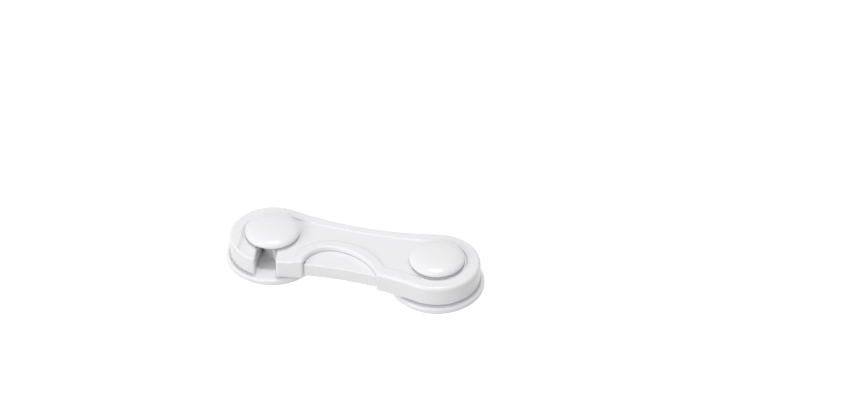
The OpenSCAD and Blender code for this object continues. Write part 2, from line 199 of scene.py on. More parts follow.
class LockFastenerSizes(bpy.types.PropertyGroup):
    """Sizes of the screws"""

    stud_shank: length("Stud screw", "Radius over the stud screw's thread", 1.25)
    stud_head: length("Stud screw head", "Radius of the stud screw's head", 2.7)
    stud_head_height: length("Stud head height", "Height of the stud screw's head", 1.3)
    cover_shank: length("Cover screw", "Radius over the cover screws' thread", 0.85)
    cover_head: length("Cover screw head", "Radius of the cover screws' heads", 1.6)
    cover_head_height: length("Cover head height", "Height of the cover screws' heads", 0.6)
    boss: length("Screw boss", "Radius of the bosses that take the cover screws", 2.1)
    thread_depth: share("Thread depth", "Depth of the thread as a share of the shank's radius", 0.2)


class LockFinish(bpy.types.PropertyGroup):
    """Colours and roughness of the finishes"""

    plastic: colour("Plastic", "Colour of the white moulded plastic", (0.83, 0.83, 0.835))
    nylon: colour("Nylon", "Colour of the thrust washer", (0.74, 0.73, 0.70))
    foam: colour("Foam", "Colour of the adhesive foam", (0.80, 0.80, 0.79))
    steel: colour("Steel", "Colour of the plated steel", (0.63, 0.64, 0.66))
    arm_roughness: share("Arm roughness", "Roughness of the arm's satin face", 0.68)
    stud_roughness: share("Stud roughness", "Roughness of the studs' bases", 0.7)
    cap_roughness: share("Cap roughness", "Roughness of the polished caps", 0.36)
    steel_roughness: share("Steel roughness", "Roughness of the plated steel", 0.3)


class LockStage(bpy.types.PropertyGroup):
    """Camera, lights and floor"""

    lens: bpy.props.FloatProperty(name="Lens", description="Focal length on a 36 mm sensor",
                                  default=115.9, unit="CAMERA")
    camera_place: bpy.props.FloatVectorProperty(
        name="Camera", description="Place of the camera", default=(0.1876, -0.7230, 0.6368),
        size=3, subtype="TRANSLATION", unit="LENGTH")
    camera_target: bpy.props.FloatVectorProperty(
        name="Target", description="Point that the camera looks at", default=(-0.0150, 0.04279, 0.0),
        size=3, subtype="TRANSLATION", unit="LENGTH")
    key_power: bpy.props.FloatProperty(name="Key light", description="Power of the light overhead",
                                       default=3.8, unit="POWER")
    fill_power: bpy.props.FloatProperty(name="Fill light",
                                        description="Power of the wide light on the left",
                                        default=6.2, unit="POWER")
    sky: bpy.props.FloatProperty(name="Room light", description="Strength of the even room light",
                                 default=0.55)
    floor_size: bpy.props.FloatProperty(name="Floor", description="Width of the floor",
                                        default=8.0, unit="LENGTH")


GROUPS = {
    "lock_stud": LockStudSizes,
    "lock_arm": LockArmSizes,
    "lock_lever": LockLeverSizes,
    "lock_fastener": LockFastenerSizes,
    "lock_finish": LockFinish,
    "lock_stage": LockStage,
}


def in_mm(group):
    """The group's lengths in millimetres, and its other numbers as they are."""
    values = {}
    for prop in group.bl_rna.properties:
        if prop.identifier in ("rna_type", "name"):
            continue
        value = getattr(group, prop.identifier)
        values[prop.identifier] = value / MM if prop.unit == "LENGTH" else value
    return SimpleNamespace(**values)


def read_sizes(scene):
    """All sizes of the lock in millimetres, with the heights and places that follow from them."""
    stud = in_mm(scene.lock_stud)
    arm = in_mm(scene.lock_arm)
    lever = in_mm(scene.lock_lever)
    screw = in_mm(scene.lock_fastener)
    stud.base_top = stud.foam_thickness + stud.base_thickness
    stud.places = {"pivot": (0.0, 0.0), "catch": (-stud.spacing, 0.0)}
    arm.waist = arm.end_radius - arm.waist_depth
    arm.floor = arm.rim_top - arm.recess_depth
    arm.ceiling = lever.top + lever.lift
    arm.cover_top = arm.bottom + arm.cover
    arm.slot_radius = stud.stem_radius + arm.slot_gap
    arm.slot_in = stud.spacing - arm.slot_radius
    arm.slot_out = stud.spacing + arm.slot_radius
    arm.slot_wall = arm.wall - arm.slot_gap
    arm.crown_x = arm.window_from_catch - stud.spacing
    arm.tight_at = (arm.crown_x, -arm.window_crown - arm.window_tight)
    arm.long_at = (arm.crown_x, -arm.window_crown - arm.window_long)
    arm.low_y = -arm.end_radius - PAST_EDGE
    screw_y = arm.waist - arm.wall - screw.boss - BOSS_ROOM
    arm.screw_places = [(-stud.spacing * part, screw_y) for part in SCREW_SHARES]
    lever.pin = np.array((lever.pin_x, lever.pin_y))
    lever.bottom = arm.cover_top + lever.lift
    lever.collar = lever.pin_radius + RUN_PLAY + arm.wall / 2
    lever.coil = lever.collar + 3 * lever.wire_radius
    lever.pitch = 2 * lever.wire_radius + lever.coil_gap
    lever.flange_top = lever.top - (COIL_TURNS + 1) * lever.pitch
    lever.coil_low = lever.flange_top + lever.wire_radius + PRESS_PLAY
    lever.spring_room = lever.coil + 3 * lever.wire_radius
    lever.flange = lever.spring_room + 2 * lever.wire_radius
    across = arm.waist + arm.long_at[1]
    wall_end = np.array((arm.crown_x + math.sqrt(arm.window_long ** 2 - across ** 2), -arm.waist))
    lever.pad_end = np.linalg.norm(wall_end - lever.pin)
    reach = arm.slot_in + lever.tooth_reach
    lever.tip = np.array((-math.sqrt(reach ** 2 - lever.tooth_back ** 2), -lever.tooth_back))
    jaw_x = (arm.slot_in ** 2 + stud.spacing ** 2 - arm.end_radius ** 2) / (2 * stud.spacing)
    jaw_y = math.sqrt(arm.slot_in ** 2 - jaw_x ** 2)
    ramp_y = lever.tooth_room + arm.wall - jaw_y
    ramp_x = -math.sqrt((arm.slot_in - lever.gap) ** 2 - ramp_y ** 2)
    lever.ramp = np.array((ramp_x, ramp_y))
    lever.root = lever.ramp + lever.bar / 2
    lever.slot_wall_end = -lever.tooth_back + 2 * lever.gap
    lever.tooth_top = lever.top - lever.tooth_drop
    lever.pad_root = np.array((arm.crown_x - arm.window_tight / 2, -arm.window_crown - lever.bar))
    ways = [(end - lever.pin) / np.linalg.norm(end - lever.pin) for end in (lever.pad_root, lever.root)]
    lever.leg_off = lever.bar / 2 + lever.wire_radius + PRESS_PLAY
    lever.leg_room = lever.leg_off / math.sin(math.acos(ways[0] @ ways[1]) / 2) + RUN_PLAY
    return SimpleNamespace(stud=stud, arm=arm, lever=lever, screw=screw)


# Outlines in plan, in millimetres

# Length of the steps along an outline
STEP = 0.5
# Points closer than this are one point of an outline
SAME_POINT = 0.02
# How far from a corner its rounding starts, so that the curve looks like an arc of the radius
BEND = 1.2
# Least lean of an outline's point when it is moved in, which keeps sharp corners from shooting out
LEAST_LEAN = 0.4


def arc(centre, radius, start, end, step=STEP):
    """Points of an arc between two angles in degrees, both ends included."""
    count = max(3, int(math.ceil(abs(math.radians(end - start)) * radius / step)) + 1)
    turn = np.radians(np.linspace(start, end, count))
    return np.column_stack((centre[0] + radius * np.cos(turn), centre[1] + radius * np.sin(turn)))


def circle(centre, radius, step=STEP):
    return arc(centre, radius, 0, 360, step)[:-1]


def joined(*runs):
    """One closed outline from several runs of points, without doubled points."""
    points = np.concatenate(runs)
    apart = np.linalg.norm(points - np.roll(points, 1, 0), axis=1) > 1e-6
    return points[apart]


def straight(start, end, step=STEP):
    count = max(2, int(math.ceil(math.dist(start, end) / step)) + 1)
    return np.linspace(start, end, count)


def waist_side(radius, waist, spacing):
    """Radius of the side that curves in to the waist, and the angle where it meets the round end."""
    side = ((spacing / 2) ** 2 + waist ** 2 - radius ** 2) / (2 * (radius - waist))
    return side, math.degrees(math.atan2(side + waist, -spacing / 2))


def waisted(radius, waist, spacing):
    """Outline with two round ends and sides that curve in to the waist."""
    side, turn = waist_side(radius, waist, spacing)
    mid = -spacing / 2
    return joined(
        arc((0, 0), radius, -turn, turn),
        arc((mid, side + waist), side, 180 + turn, 360 - turn),
        arc((-spacing, 0), radius, 180 - turn, 180 + turn),
        arc((mid, -side - waist), side, turn, 180 - turn))


def half_moon(arm, tight_grow=0.0, long_grow=0.0):
    """The window's half-moon, each of its two arcs grown by its own margin, open past the near side."""
    tight = arm.window_tight + tight_grow
    long = arm.window_long + long_grow
    end = math.degrees(math.asin((arm.low_y - arm.long_at[1]) / long))
    return joined(
        straight((arm.crown_x - tight, arm.low_y), (arm.crown_x - tight, arm.tight_at[1])),
        arc(arm.tight_at, tight, 180, 90),
        arc(arm.long_at, long, 90, end))


def stem_slot(size):
    """The slot that the catch stem takes: a round seat and a channel along the stem's path."""
    arm = size.arm
    mouth = 180 + math.degrees(math.asin(-arm.low_y / size.stud.spacing))
    return joined(
        arc((-size.stud.spacing, 0), arm.slot_radius, 0, 180),
        arc((0, 0), arm.slot_out, 180, mouth),
        arc((0, 0), arm.slot_in, mouth, 180))


def in_parts(points, work, size=1500):
    """Runs work on a few points at a time, to spare memory."""
    return np.concatenate([work(points[i:i + size]) for i in range(0, len(points), size)])


def inside(points, loop):
    """Which points lie inside a closed outline."""
    x0, y0 = loop.T
    x1, y1 = np.roll(loop, -1, 0).T
    rise = np.where(y1 == y0, 1.0, y1 - y0)

    def work(part):
        x, y = part[:, :1], part[:, 1:]
        crossed = ((y0 > y) != (y1 > y)) & (x < x0 + (y - y0) * (x1 - x0) / rise)
        return crossed.sum(1) % 2 == 1

    return in_parts(points, work)


def distance(points, loop):
    """Distance from each point to a closed outline."""
    start = loop
    way = np.roll(loop, -1, 0) - loop
    square = np.maximum((way ** 2).sum(1), 1e-12)

    def work(part):
        off = part[:, None, :] - start
        along = np.clip((off * way).sum(2) / square, 0, 1)
        return np.sqrt(((off - along[..., None] * way) ** 2).sum(2).min(1))

    return in_parts(points, work)


def ramp(value, start, end):
    """A straight ramp from 0 at one value to 1 at another."""
    return np.clip((value - start) / (end - start), 0, 1)


def eased(value, start, end):
    """A soft ramp from 0 at one value to 1 at another."""
    return 0.5 - 0.5 * np.cos(math.pi * ramp(value, start, end))


def within(points, centre, radius):
    return np.linalg.norm(points - np.asarray(centre), axis=1) < radius


def triangulate(loops, lines=()):
    """Triangles of the plan that follow every outline and line."""
    points = []
    edges = []
    for run, closed in [(loop, True) for loop in loops] + [(line, False) for line in lines]:
        first = len(points)
        points += [Vector(point) for point in run]
        edges += [(first + i, first + i + 1) for i in range(len(run) - 1)]
        if closed:
            edges.append((first + len(run) - 1, first))
    verts, _, faces, _, _, _ = delaunay_2d_cdt(points, edges, [], 0, 1e-5)
    places = np.array([vert[:] for vert in verts])
    faces = np.array(faces)
    a, b, c = (places[faces[:, k]] for k in range(3))
    area = (b - a)[:, 0] * (c - a)[:, 1] - (b - a)[:, 1] * (c - a)[:, 0]
    faces[area < 0] = faces[area < 0][:, ::-1]
    return places, faces[np.abs(area) > 1e-9]


def outlines(loops, keep, lines=()):
    """Closed outlines of the plan that keep() accepts, the material on their left, the longest first."""
    places, faces = triangulate(loops, lines)
    faces = faces[keep(places[faces].mean(1))]
    ways = {(p, q) for a, b, c in faces.tolist() for p, q in ((a, b), (b, c), (c, a))}
    onward = {p: q for p, q in ways if (q, p) not in ways}
    found = []
    while onward:
        start = min(onward)
        run = [start]
        while onward[run[-1]] != start:
            run.append(onward.pop(run[-1]))
        onward.pop(run[-1])
        loop = places[run]
        apart = np.linalg.norm(loop - np.roll(loop, 1, 0), axis=1) > SAME_POINT
        found.append(loop[apart])
    return sorted(found, key=len, reverse=True)


def round_corners(loop, radius, sharp=25.0, points=7):
    """The outline with its sharp corners rounded."""
    before = loop - np.roll(loop, 1, 0)
    after = np.roll(loop, -1, 0) - loop
    turn = np.arctan2(before[:, 0] * after[:, 1] - before[:, 1] * after[:, 0], (before * after).sum(1))
    steps = np.linalg.norm(after, axis=1)
    at = np.concatenate(([0], np.cumsum(steps)))
    total = at[-1]
    wide_at = np.concatenate((at[:-1] - total, at[:-1], at[:-1] + total))
    wide = np.concatenate((loop, loop, loop))
    corners = np.flatnonzero(np.abs(np.degrees(turn)) > sharp)
    kept = np.ones(len(loop), bool)
    extra_at = []
    extra = []
    for i in corners:
        back = BEND * radius * math.tan(abs(turn[i]) / 2)
        gap = np.abs((at[:-1] - at[i] + total / 2) % total - total / 2)
        kept &= gap > back
        ends = [np.array([np.interp(at[i] + side * back, wide_at, wide[:, k]) for k in (0, 1)])
                for side in (-1, 1)]
        for t in np.linspace(0, 1, points):
            extra.append((1 - t) ** 2 * ends[0] + 2 * t * (1 - t) * loop[i] + t ** 2 * ends[1])
            extra_at.append((at[i] + (2 * t - 1) * back) % total)
    if not len(corners):
        return loop
    places = np.concatenate((loop[kept], np.array(extra)))
    order = np.argsort(np.concatenate((at[:-1][kept], np.array(extra_at))), kind="stable")
    return places[order]


def moved_in(loop, offset):
    """The outline moved into the material on its left."""
    before = loop - np.roll(loop, 1, 0)
    before /= np.linalg.norm(before, axis=1)[:, None]
    after = np.roll(before, -1, 0)
    normal = before + after
    normal /= np.maximum(np.linalg.norm(normal, axis=1), 1e-9)[:, None]
    lean = np.maximum((normal * before).sum(1), LEAST_LEAN)
    return loop + offset * np.column_stack((-normal[:, 1], normal[:, 0])) / lean[:, None]


def edge_offsets(radius, steps):
    """How far in each ring of a rounded edge lies, from the wall to just past the edge."""
    turns = [math.pi / 2 * k / steps for k in range(1, steps + 1)]
    return [radius * (1 - math.cos(turn)) for turn in turns] + [radius + RUN_PLAY]


def edge_drop(gap, radius):
    """How far a rounded edge falls below its face, at a distance from the wall."""
    short = np.clip(radius - gap, 0, radius)
    return radius - np.sqrt(np.maximum(radius ** 2 - short ** 2, 0))


# Meshes

def new_object(name, verts, faces, sharp=32.0):
    """An object from points in millimetres, smooth but for its sharp edges."""
    mesh = bpy.data.meshes.new(name)
    mesh.from_pydata((np.asarray(verts) * MM).tolist(), [], faces)
    mesh.validate()
    mesh.shade_smooth()
    mesh.set_sharp_from_angle(angle=math.radians(sharp))
    mesh.update()
    piece = bpy.data.objects.new(name, mesh)
    bpy.context.scene.collection.objects.link(piece)
    return piece


def plan_solid(loops, region_of, levels, lines=()):
    """Points and faces of a closed solid with upright walls.

    region_of gives each place of the plan a region number, or -1 outside the solid. levels gives for
    each region its lower and its upper height, as functions of the place."""
    places, faces = triangulate(loops, lines)
    region = region_of(places[faces].mean(1))
    faces = faces[region >= 0]
    region = region[region >= 0]
    heights = {}
    for number in np.unique(region):
        used = np.unique(faces[region == number])
        for side in (0, 1):
            z = np.round(levels[number][side](places[used]), 5)
            heights.update({(int(i), int(number), side): float(v) for i, v in zip(used, z)})
    stack = {}
    for (i, _, _), z in heights.items():
        stack.setdefault(i, set()).add(z)
    stack = {i: sorted(zs) for i, zs in stack.items()}
    index = {}
    verts = []

    def vert(i, z):
        if (i, z) not in index:
            index[i, z] = len(verts)
            verts.append((places[i][0], places[i][1], z))
        return index[i, z]

    made = []

    def wall(p, q, low, high):
        up = [z for z in stack[q] if low[1] <= z <= high[1]]
        down = [z for z in reversed(stack[p]) if low[0] <= z <= high[0]]
        face = [vert(q, z) for z in up] + [vert(p, z) for z in down]
        if len(face) > 2:
            made.append(face)

    beside = {}
    for number, (a, b, c) in zip(region.tolist(), faces.tolist()):
        made.append([vert(i, heights[i, number, 1]) for i in (a, b, c)])
        made.append([vert(i, heights[i, number, 0]) for i in (c, b, a)])
        beside.update({(a, b): number, (b, c): number, (c, a): number})
    for (p, q), number in beside.items():
        other = beside.get((q, p))
        if other == number:
            continue
        low = [heights[i, number, 0] for i in (p, q)]
        high = [heights[i, number, 1] for i in (p, q)]
        if other is None:
            wall(p, q, low, high)
            continue
        other_low = [heights[i, other, 0] for i in (p, q)]
        other_high = [heights[i, other, 1] for i in (p, q)]
        if sum(other_low) > sum(low):
            wall(p, q, low, [min(x, y) for x, y in zip(high, other_low)])
        if sum(high) > sum(other_high):
            wall(p, q, [max(x, y) for x, y in zip(low, other_high)], high)
    return verts, made


def flat(z):
    return lambda places: np.full(len(places), z)


def rounded_line(corners, steps=5):
    """A profile whose corners (radius, height, rounding) are rounded."""
    points = []
    count = len(corners)
    for i, (x, z, radius) in enumerate(corners):
        here = np.array((x, z))
        if not radius:
            points.append(here)
            continue
        ways = []
        for other in (corners[i - 1], corners[(i + 1) % count]):
            way = np.array(other[:2]) - here
            ways.append(way / np.linalg.norm(way))
        angle = math.acos(np.clip(ways[0] @ ways[1], -1, 1))
        back = radius / math.tan(angle / 2)
        middle = (ways[0] + ways[1]) / np.linalg.norm(ways[0] + ways[1])
        centre = here + middle * radius / math.sin(angle / 2)
        first = here + ways[0] * back - centre
        last = here + ways[1] * back - centre
        spread = math.pi - angle
        for k in range(steps + 1):
            t = k / steps
            mix = (math.sin((1 - t) * spread) * first + math.sin(t * spread) * last) / math.sin(spread)
            points.append(centre + mix)
    return np.array(points)


def revolve(profile, centre, sides=96, closed=False):
    """Points and faces of a turned solid. An open profile starts and ends on the axis."""
    verts = []
    rings = []
    turn = np.linspace(0, 2 * math.pi, sides, endpoint=False)
    for x, z in profile:
        first = len(verts)
        if x < 1e-6:
            verts.append((centre[0], centre[1], z))
            rings.append([first] * sides)
            continue
        verts += [(centre[0] + x * math.cos(a), centre[1] + x * math.sin(a), z) for a in turn]
        rings.append(list(range(first, first + sides)))
    faces = []
    pairs = list(zip(rings, rings[1:])) + ([(rings[-1], rings[0])] if closed else [])
    for low, high in pairs:
        for i in range(sides):
            j = (i + 1) % sides
            face = [low[i], low[j], high[j], high[i]]
            face = [v for k, v in enumerate(face) if v not in face[:k]]
            if len(face) > 2:
                faces.append(face)
    return verts, faces


def merged(*solids):
    """Several solids as one list of points and faces."""
    verts = []
    faces = []
    for more_verts, more_faces in solids:
        first = len(verts)
        verts += [tuple(v) for v in more_verts]
        faces += [[first + i for i in face] for face in more_faces]
    return verts, faces


def place(piece, body, slot, finish, *nodes):
    """Puts a piece on its body, gives it its finish and lets it stand for its solids."""
    piece.data.materials.clear()
    piece.data.materials.append(finish)
    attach(piece, body)
    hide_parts(*nodes)
    return piece


# Finishes

def new_finish(name):
    """An empty material with its main shader and output."""
    finish = bpy.data.materials.new(name)
    finish.use_nodes = True
    tree = finish.node_tree
    tree.nodes.clear()
    output = tree.nodes.new("ShaderNodeOutputMaterial")
    shader = tree.nodes.new("ShaderNodeBsdfPrincipled")
    tree.links.new(shader.outputs["BSDF"], output.inputs["Surface"])
    return finish, tree, shader


def noise(tree, scale, detail=2.0, roughness=0.5, stretch=None):
    """Noise in the object's own space, scale in grains per metre."""
    where = tree.nodes.new("ShaderNodeTexCoord")
    grain = tree.nodes.new("ShaderNodeTexNoise")
    grain.inputs["Scale"].default_value = scale
    grain.inputs["Detail"].default_value = detail
    grain.inputs["Roughness"].default_value = roughness
    source = where.outputs["Object"]
    if stretch:
        mapping = tree.nodes.new("ShaderNodeMapping")
        mapping.inputs["Scale"].default_value = stretch
        tree.links.new(source, mapping.inputs["Vector"])
        source = mapping.outputs["Vector"]
    tree.links.new(source, grain.inputs["Vector"])
    return grain.outputs["Fac"]


def spread(tree, source, low, high, start=0.3, end=0.7):
    """The source's values, spread from low to high."""
    node = tree.nodes.new("ShaderNodeMapRange")
    node.inputs["From Min"].default_value = start
    node.inputs["From Max"].default_value = end
    node.inputs["To Min"].default_value = low
    node.inputs["To Max"].default_value = high
    tree.links.new(source, node.inputs["Value"])
    return node.outputs["Result"]


def tinted(tree, source, dark, light):
    """A colour that wanders between two colours with the source."""
    ramp = tree.nodes.new("ShaderNodeValToRGB")
    ramp.color_ramp.elements[0].position = 0.3
    ramp.color_ramp.elements[0].color = (*dark, 1)
    ramp.color_ramp.elements[1].position = 0.7
    ramp.color_ramp.elements[1].color = (*light, 1)
    tree.links.new(source, ramp.inputs["Fac"])
    return ramp.outputs["Color"]


def bumped(tree, shader, source, height, strength=1.0):
    """Adds a bump of a height in metres to the shader."""
    bump = tree.nodes.new("ShaderNodeBump")
    bump.inputs["Strength"].default_value = strength
    bump.inputs["Distance"].default_value = height
    tree.links.new(source, bump.inputs["Height"])
    tree.links.new(bump.outputs["Normal"], shader.inputs["Normal"])


def scaled(tint, factor):
    return tuple(min(1.0, part * factor) for part in tint)


def moulded_plastic(name, tint, roughness, grain):
    """White injection-moulded plastic: a satin skin with a fine moulded grain and faint flow shading."""
    finish, tree, shader = new_finish(name)
    flow = noise(tree, 90.0, 3.0, 0.55, (0.5, 1.4, 1.0))
    tone = tinted(tree, flow, scaled(tint, 0.985), scaled(tint, 1.01))
    tree.links.new(tone, shader.inputs["Base Color"])
    skin = noise(tree, 900.0, 4.0, 0.6)
    tree.links.new(spread(tree, skin, roughness - 0.04, roughness + 0.05), shader.inputs["Roughness"])
    bumped(tree, shader, noise(tree, 5200.0, 2.0, 0.5), grain)
    shader.inputs["IOR"].default_value = 1.5
    shader.inputs["Subsurface Weight"].default_value = 0.12
    shader.inputs["Subsurface Radius"].default_value = (0.0011, 0.001, 0.0009)
    shader.inputs["Subsurface Scale"].default_value = 1.0
    return finish


def nylon(name, tint):
    """Natural nylon: matte, a little cloudy."""
    finish, tree, shader = new_finish(name)
    cloud = noise(tree, 260.0, 3.0, 0.6)
    tone = tinted(tree, cloud, scaled(tint, 0.95), scaled(tint, 1.03))
    tree.links.new(tone, shader.inputs["Base Color"])
    tree.links.new(spread(tree, cloud, 0.5, 0.6), shader.inputs["Roughness"])
    bumped(tree, shader, noise(tree, 2600.0, 3.0, 0.6), 0.000012)
    shader.inputs["Subsurface Weight"].default_value = 0.15
    shader.inputs["Subsurface Radius"].default_value = (0.0012, 0.0011, 0.0009)
    return finish


def foam(name, tint):
    """Closed-cell foam: small round cells with thin pale walls, their pits darkened with painted shade.
    """
    finish, tree, shader = new_finish(name)
    where = tree.nodes.new("ShaderNodeTexCoord")
    cells = tree.nodes.new("ShaderNodeTexVoronoi")
    cells.inputs["Scale"].default_value = 4200.0
    tree.links.new(where.outputs["Object"], cells.inputs["Vector"])
    depth = cells.outputs["Distance"]
    # The colour is darker at the bottom of each cell's pit and paler on its walls: painted shade in the
    # cells' hollows, on top of the bump that gives them depth.
    tone = tinted(tree, depth, scaled(tint, 0.86), scaled(tint, 1.05))
    tree.links.new(tone, shader.inputs["Base Color"])
    tree.links.new(spread(tree, noise(tree, 1500.0), 0.82, 0.95), shader.inputs["Roughness"])
    bumped(tree, shader, depth, 0.00006, 0.8)
    return finish


def plated_steel(name, tint, roughness):
    """Zinc-plated steel with fine turning marks and a faint cloudiness."""
    finish, tree, shader = new_finish(name)
    cloud = noise(tree, 700.0, 3.0, 0.6)
    tone = tinted(tree, cloud, scaled(tint, 0.9), scaled(tint, 1.06))
    tree.links.new(tone, shader.inputs["Base Color"])
    marks = noise(tree, 1400.0, 2.0, 0.5, (1.0, 1.0, 9.0))
    tree.links.new(spread(tree, marks, roughness - 0.06, roughness + 0.1), shader.inputs["Roughness"])
    bumped(tree, shader, marks, 0.000006)
    shader.inputs["Metallic"].default_value = 1.0
    return finish


def finishes(scene):
    """The lock's finishes, each made once."""
    tone = scene.lock_finish
    makers = {
        "arm_plastic": lambda n: moulded_plastic(n, tone.plastic, tone.arm_roughness, 0.000008),
        "lever_plastic": lambda n: moulded_plastic(n, tone.plastic, tone.arm_roughness, 0.000009),
        "stud_plastic": lambda n: moulded_plastic(n, tone.plastic, tone.stud_roughness, 0.000007),
        "cap_plastic": lambda n: moulded_plastic(n, tone.plastic, tone.cap_roughness, 0.000003),
        "washer_plastic": lambda n: nylon(n, tone.nylon),
        "foam": lambda n: foam(n, tone.foam),
        "steel": lambda n: plated_steel(n, tone.steel, tone.steel_roughness),
    }
    return {name: bpy.data.materials.get(name) or make(name) for name, make in makers.items()}


# Pieces

def cap_profile(stud, shank):
    """Domed cap, its tucked lower edge and the blind hole for its screw."""
    mid = stud.cap_bottom + stud.cap_skirt
    hole_top = (mid + stud.cap_top) / 2
    tuck_steps = 6
    dome_steps = 40
    points = [(0, hole_top), (shank, hole_top), (shank, stud.cap_bottom)]
    for k in range(tuck_steps + 1):
        a = math.pi / 2 * (1 - k / tuck_steps)
        points.append((stud.cap_radius - stud.cap_tuck * (1 - math.cos(a)),
                       stud.cap_bottom + stud.cap_tuck * (1 - math.sin(a))))
    for k in range(dome_steps):
        a = math.pi / 2 * k / dome_steps
        points.append((stud.cap_radius * math.cos(a) ** stud.cap_power,
                       mid + (stud.cap_top - mid) * math.sin(a) ** stud.cap_power))
    return points + [(0, stud.cap_top)]


def base_profile(stud, screw, foot):
    """Base plate with a rounded edge, its stem and the bore and counterbore for its screw."""
    bore = screw.stud_shank + RUN_PLAY
    sink = screw.stud_head + SINK_PLAY
    sink_top = stud.foam_thickness + screw.stud_head_height + SINK_PLAY
    lower_round = 0.2
    end_round = 0.15
    return rounded_line([
        (sink, stud.foam_thickness, 0),
        (stud.base_radius, stud.foam_thickness, lower_round),
        (stud.base_radius, stud.base_top, stud.base_edge),
        (stud.stem_radius, stud.base_top, foot),
        (stud.stem_radius, stud.stem_top, end_round),
        (bore, stud.stem_top, 0),
        (bore, sink_top, 0),
        (sink, sink_top, 0)], 8)


def foam_solid(stud, centre):
    """Foam disc: flat faces, a softly bulged edge and the small waves of a punched cut."""
    half = stud.foam_thickness / 2
    rings = (0, 0.3, 0.6, 0.85)
    edge_steps = 12
    wave = 0.03
    profile = [(stud.foam_radius * part, 0) for part in rings]
    for k in range(edge_steps + 1):
        a = math.pi * (k / edge_steps - 0.5)
        pinch = stud.foam_edge * (1 - math.cos(a))
        profile.append((stud.foam_radius - pinch, half + half * math.sin(a)))
    profile += [(stud.foam_radius * part, 2 * half) for part in reversed(rings)]
    verts, faces = revolve(profile, centre, 192)
    waved = []
    for x, y, z in verts:
        off_x, off_y = x - centre[0], y - centre[1]
        out = math.hypot(off_x, off_y)
        turn = math.atan2(off_y, off_x)
        dent = wave * (1 + math.sin(17 * turn) * math.sin(29 * turn + 4 * z))
        dent *= (out / stud.foam_radius) ** 8
        part = 1 - dent / stud.foam_radius
        waved.append((centre[0] + off_x * part, centre[1] + off_y * part, z))
    return waved, faces


def threaded_screw(centre, low, head, head_height, shank, tip, depth_share):
    """A pan-head screw that points up: cross recess, rounded head, rolled thread and a cone point."""
    core = shank * (1 - depth_share)
    pitch = shank * 0.9
    point_length = 2.2 * core
    point_end = 0.08
    crest_width = 0.32
    rows_per_turn = 8
    head_round = head_height * 0.35
    slim = head * 0.18
    wide = head * 0.62
    quarter = [(slim, wide), (-slim, wide), (-slim, slim)]
    cross = []
    for _ in range(4):
        cross += quarter
        quarter = [(-y, x) for x, y in quarter]
    cross = np.array(cross) + np.asarray(centre)
    edge = circle(centre, head, 2 * math.pi * head / 64)
    rim = [moved_in(edge, offset) for offset in edge_offsets(head_round, 4)]
    joint = circle(centre, core, 2 * math.pi * core / 32)

    def region_of(places):
        numbers = np.where(within(places, centre, head), 0, -1)
        numbers[inside(places, cross)] = 1
        return numbers

    def face(places):
        return low + edge_drop(distance(places, edge), head_round)

    top = low + head_height
    sink = low + head_height * 0.55
    levels = {0: (face, flat(top)), 1: (flat(sink), flat(top))}
    verts, faces = plan_solid([edge, cross, joint, *rim], region_of, levels)
    under = {tuple(np.round(v, 4)) for v in verts if abs(v[2] - top) < 1e-6
             and math.dist(v[:2], centre) < core * 1.001}
    faces = [f for f in faces if not all(tuple(np.round(verts[i], 4)) in under for i in f)]
    ring = sorted((math.atan2(v[1] - centre[1], v[0] - centre[0]), i) for i, v in enumerate(verts)
                  if abs(v[2] - top) < 1e-6 and abs(math.dist(v[:2], centre) - core) < core * 0.01)
    last = [i for _, i in ring]
    sides = len(last)
    turns = [turn for turn, _ in ring]
    rows = int((tip - top) / pitch * rows_per_turn)
    for row in range(1, rows + 1):
        z = top + (tip - top) * row / rows
        left = (tip - z) / point_length
        fade = min(1.0, row / rows_per_turn, max(0.0, left))
        taper = min(1.0, max(point_end, left))
        ring = []
        for turn in turns:
            phase = (z / pitch - turn / (2 * math.pi)) % 1.0
            crest = max(0.0, 1 - abs(phase - 0.5) / crest_width)
            radius = core * taper + (shank - core) * crest * fade
            ring.append(len(verts))
            verts.append((centre[0] + radius * math.cos(turn), centre[1] + radius * math.sin(turn), z))
        for i in range(sides):
            j = (i + 1) % sides
            faces.append([last[i], last[j], ring[j], ring[i]])
        last = ring
    faces.append(list(last))
    return verts, faces


